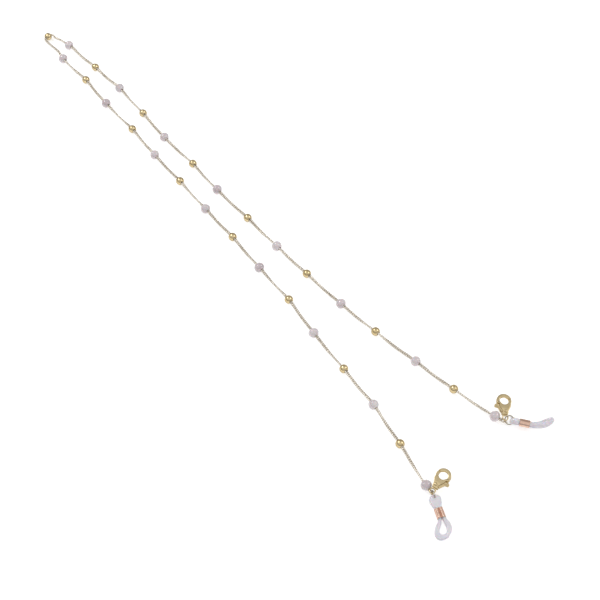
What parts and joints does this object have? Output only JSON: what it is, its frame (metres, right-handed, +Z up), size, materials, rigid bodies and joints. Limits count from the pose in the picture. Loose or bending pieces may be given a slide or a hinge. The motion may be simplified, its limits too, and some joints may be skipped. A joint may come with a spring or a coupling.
{
  "type": "eyeglasses chain strap",
  "caption": "Beaded eyeglasses neck chain with pearls and gold beads, and at each end a lobster clasp and a silicone temple loop with a sliding sleeve.",
  "frame": {"origin": "middle of the strap's footprint, on the surface it lies on", "axes": "+Z up from the surface; +Y from the two clasps to the fold of the chain; +X towards the right strand"},
  "size_m": [0.0736, 0.3498, 0.0075],
  "materials": {
    "chain_gold": "fine polished curb links, pale champagne gold plating",
    "gold_plate": "polished gold plating",
    "ring_metal": "pale gold plated wire",
    "pearl": "nacre, soft pink-lavender lustre",
    "rose_gold": "polished rose gold plating",
    "silicone": "translucent milky silicone, satin",
    "spring_steel": "bright spring wire"
  },
  "bodies": {
    "strand": {"chain": "chain_gold", "pearl_bead_01": "pearl", "gold_bead_01": "gold_plate", "pearl_bead_02": "pearl", "gold_bead_02": "gold_plate", "pearl_bead_03": "pearl", "gold_bead_03": "gold_plate", "pearl_bead_04": "pearl", "gold_bead_04": "gold_plate", "pearl_bead_05": "pearl", "gold_bead_05": "gold_plate", "pearl_bead_06": "pearl", "gold_bead_06": "gold_plate", "pearl_bead_07": "pearl", "gold_bead_07": "gold_plate", "pearl_bead_08": "pearl", "gold_bead_08": "gold_plate", "pearl_bead_09": "pearl", "gold_bead_09": "gold_plate", "pearl_bead_10": "pearl", "gold_bead_10": "gold_plate", "pearl_bead_11": "pearl", "gold_bead_11": "gold_plate", "pearl_bead_12": "pearl", "gold_bead_12": "gold_plate", "pearl_bead_13": "pearl", "gold_bead_13": "gold_plate", "pearl_bead_14": "pearl", "gold_bead_14": "gold_plate", "pearl_bead_15": "pearl", "gold_bead_15": "gold_plate", "pearl_bead_16": "pearl", "left_chain_end_link": "chain_gold", "right_chain_end_link": "chain_gold"},
    "left_ring": {"left_jump_ring": "ring_metal"},
    "left_clasp": {"left_clasp_body": "gold_plate", "left_clasp_rivet": "gold_plate", "left_clasp_spring": "spring_steel"},
    "left_lever": {"left_clasp_lever": "gold_plate"},
    "left_holder": {"left_silicone_loop": "silicone"},
    "left_sleeve_body": {"left_sleeve": "rose_gold"},
    "right_ring": {"right_jump_ring": "ring_metal"},
    "right_clasp": {"right_clasp_body": "gold_plate", "right_clasp_rivet": "gold_plate", "right_clasp_spring": "spring_steel"},
    "right_lever": {"right_clasp_lever": "gold_plate"},
    "right_holder": {"right_silicone_loop": "silicone"},
    "right_sleeve_body": {"right_sleeve": "rose_gold"}
  },
  "joints": [
    {"name": "left_ring_swivel", "type": "hinge", "parent": "strand", "child": "left_ring", "pos_m": [-0.02482, -0.1568, 0.00134], "axis": [0.2602, 0.558, 0.788], "range_deg": [-15, 6]},
    {"name": "left_clasp_swing", "type": "hinge", "parent": "left_ring", "child": "left_clasp", "pos_m": [-0.02472, -0.15659, 0.00327], "axis": [-0.1692, -0.0391, 0.9848], "range_deg": [-50, 4]},
    {"name": "left_lever_pull", "type": "hinge", "parent": "left_clasp", "child": "left_lever", "pos_m": [-0.022, -0.15565, 0.00377], "axis": [0.1692, 0.0391, -0.9848], "range_deg": [0, 18], "stiffness_Nm_per_rad": 0.004, "springref_deg": -11.46, "deforming": ["left_clasp_spring"]},
    {"name": "left_holder_swing", "type": "hinge", "parent": "left_ring", "child": "left_holder", "pos_m": [-0.02544, -0.15815, 0.0025], "axis": [-0.9063, 0.4226, 0], "range_deg": [0, 30]},
    {"name": "left_sleeve_slide", "type": "slide", "parent": "left_holder", "child": "left_sleeve_body", "axis": [-0.3797, -0.9212, -0.0854], "range_m": [0, 0.003], "deforming": ["left_silicone_loop"]},
    {"name": "right_ring_swivel", "type": "hinge", "parent": "strand", "child": "right_ring", "pos_m": [0.02135, -0.1511, 0.00171], "axis": [0.011, 0.8507, 0.5255], "range_deg": [-14, 5]},
    {"name": "right_clasp_swing", "type": "hinge", "parent": "right_ring", "child": "right_clasp", "pos_m": [0.0221, -0.15002, 0.00297], "axis": [-0.0223, -0.1384, 0.9901], "range_deg": [-25, 2]},
    {"name": "right_lever_pull", "type": "hinge", "parent": "right_clasp", "child": "right_lever", "pos_m": [0.02414, -0.14797, 0.0033], "axis": [-0.0223, -0.1384, 0.9901], "range_deg": [0, 13], "stiffness_Nm_per_rad": 0.004, "springref_deg": -11.46, "deforming": ["right_clasp_spring"]},
    {"name": "right_holder_swing", "type": "hinge", "parent": "right_ring", "child": "right_holder", "pos_m": [0.02291, -0.15168, 0.0026], "axis": [-0.5617, -0.4295, 0.7071], "range_deg": [0, 30]},
    {"name": "right_sleeve_slide", "type": "slide", "parent": "right_holder", "child": "right_sleeve_body", "axis": [0.6074, -0.7944, 0], "range_m": [0, 0.002], "deforming": ["right_silicone_loop"]}
  ]
}
